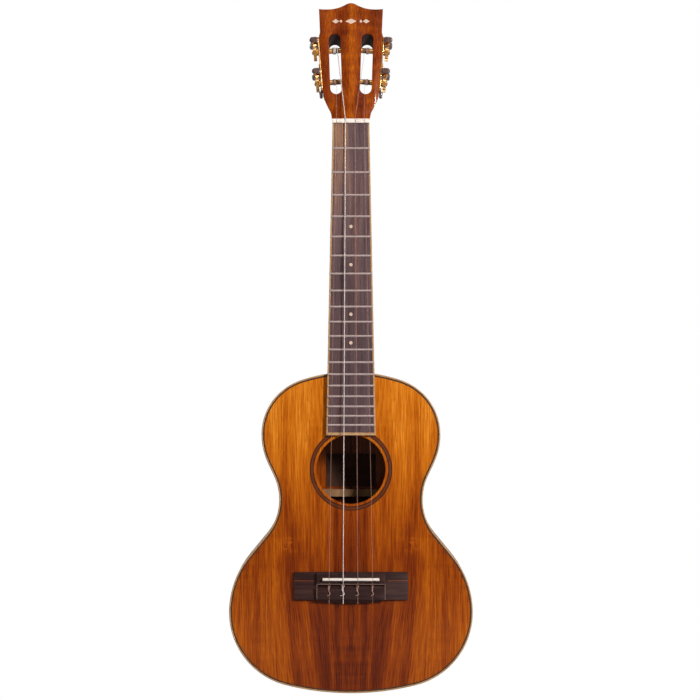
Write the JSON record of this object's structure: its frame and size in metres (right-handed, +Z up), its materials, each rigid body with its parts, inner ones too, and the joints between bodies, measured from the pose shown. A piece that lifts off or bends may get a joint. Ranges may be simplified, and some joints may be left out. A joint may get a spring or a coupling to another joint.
{
  "type": "tenor ukulele",
  "caption": "Slotted-head tenor ukulele: hollow figured-wood body, bound fretboard, wooden bridge, bone nut and saddle, geared side-mounted tuning machines that turn.",
  "frame": {"origin": "where a hanger's yoke carries the neck, just below the nut's line, on the plane of the soundboard's face", "axes": "+Z up the neck towards the headstock, -Y out of the strings' side, +X to the right as seen from the front"},
  "size_m": [0.2324, 0.0818, 0.6592],
  "materials": {
    "koa": "clear gloss over straight brown grain",
    "neck_wood": "satin lacquer",
    "brace_wood": "bare sanded wood",
    "rosewood": "oiled, open grained",
    "pale_binding": "polished",
    "dark_line": "polished",
    "bone": "polished bone",
    "pearl": "polished shell",
    "fret_metal": "polished nickel silver",
    "clear_string": "smooth clear line",
    "wound_string": "fine metal winding",
    "label_paper": "aged paper",
    "gold_plate": "polished gold colour",
    "gold_machine": "polished gold colour",
    "button_dark": "dark brown, glossy"
  },
  "bodies": {
    "instrument": {"a_string": "clear_string", "back_binding": "pale_binding", "back_board": "koa", "back_braces": "brace_wood", "back_lining": "neck_wood", "bridge": "rosewood", "bridge_plate": "brace_wood", "c_string": "wound_string", "e_string": "clear_string", "end_caps": "button_dark", "fretboard": "rosewood", "fretboard_binding": "pale_binding", "frets": "fret_metal", "g_string": "clear_string", "headstock_inlay": "pearl", "headstock_veneer": "koa", "heel_cap": "rosewood", "inside_label": "label_paper", "left_rib": "koa", "left_tuner_plate": "gold_plate", "neck": "neck_wood", "neck_block": "neck_wood", "nut": "bone", "plate_screws": "gold_plate", "position_dots": "pearl", "purfling": "dark_line", "right_rib": "koa", "right_tuner_plate": "gold_plate", "rosette": "rosewood", "rosette_lines": "dark_line", "saddle": "bone", "soundboard": "koa", "tail_block": "neck_wood", "top_binding": "pale_binding", "top_braces": "brace_wood", "top_lining": "neck_wood"},
    "left_lower_roller_set": {"left_lower_roller": "gold_machine", "left_lower_gear": "gold_machine", "left_lower_gear_screw": "gold_machine", "left_lower_string_turns": "clear_string"},
    "left_lower_button_set": {"left_lower_worm": "gold_machine", "left_lower_button": "button_dark"},
    "left_upper_roller_set": {"left_upper_roller": "gold_machine", "left_upper_gear": "gold_machine", "left_upper_gear_screw": "gold_machine", "left_upper_string_turns": "wound_string"},
    "left_upper_button_set": {"left_upper_worm": "gold_machine", "left_upper_button": "button_dark"},
    "right_upper_roller_set": {"right_upper_roller": "gold_machine", "right_upper_gear": "gold_machine", "right_upper_gear_screw": "gold_machine", "right_upper_string_turns": "clear_string"},
    "right_upper_button_set": {"right_upper_worm": "gold_machine", "right_upper_button": "button_dark"},
    "right_lower_roller_set": {"right_lower_roller": "gold_machine", "right_lower_gear": "gold_machine", "right_lower_gear_screw": "gold_machine", "right_lower_string_turns": "clear_string"},
    "right_lower_button_set": {"right_lower_worm": "gold_machine", "right_lower_button": "button_dark"}
  },
  "joints": [
    {"name": "left_lower_button_turn", "type": "hinge", "parent": "instrument", "child": "left_lower_button_set", "pos_m": [-0.03286, 0.01359, 0.03996], "axis": [0, -0.9903, 0.1392], "continuous": true},
    {"name": "left_lower_roller_turn", "type": "hinge", "parent": "instrument", "child": "left_lower_roller_set", "pos_m": [-0.03203, 0.0121, 0.0294], "axis": [-0.997, -0.0108, -0.0765], "continuous": true},
    {"name": "left_upper_button_turn", "type": "hinge", "parent": "instrument", "child": "left_upper_button_set", "pos_m": [-0.03521, 0.01781, 0.06996], "axis": [0, -0.9903, 0.1392], "continuous": true},
    {"name": "left_upper_roller_turn", "type": "hinge", "parent": "instrument", "child": "left_upper_roller_set", "pos_m": [-0.03438, 0.01632, 0.0594], "axis": [-0.997, -0.0108, -0.0765], "continuous": true},
    {"name": "right_upper_button_turn", "type": "hinge", "parent": "instrument", "child": "right_upper_button_set", "pos_m": [0.03521, 0.01781, 0.06996], "axis": [0, -0.9903, 0.1392], "continuous": true},
    {"name": "right_upper_roller_turn", "type": "hinge", "parent": "instrument", "child": "right_upper_roller_set", "pos_m": [0.03438, 0.01632, 0.0594], "axis": [0.997, -0.0108, -0.0765], "continuous": true},
    {"name": "right_lower_button_turn", "type": "hinge", "parent": "instrument", "child": "right_lower_button_set", "pos_m": [0.03286, 0.01359, 0.03996], "axis": [0, -0.9903, 0.1392], "continuous": true},
    {"name": "right_lower_roller_turn", "type": "hinge", "parent": "instrument", "child": "right_lower_roller_set", "pos_m": [0.03203, 0.0121, 0.0294], "axis": [0.997, -0.0108, -0.0765], "continuous": true}
  ],
  "couplings": [
    {"joint": "left_lower_roller_turn", "follows": "left_lower_button_turn", "ratio": -0.071429},
    {"joint": "left_upper_roller_turn", "follows": "left_upper_button_turn", "ratio": -0.071429},
    {"joint": "right_upper_roller_turn", "follows": "right_upper_button_turn", "ratio": -0.071429},
    {"joint": "right_lower_roller_turn", "follows": "right_lower_button_turn", "ratio": -0.071429}
  ]
}
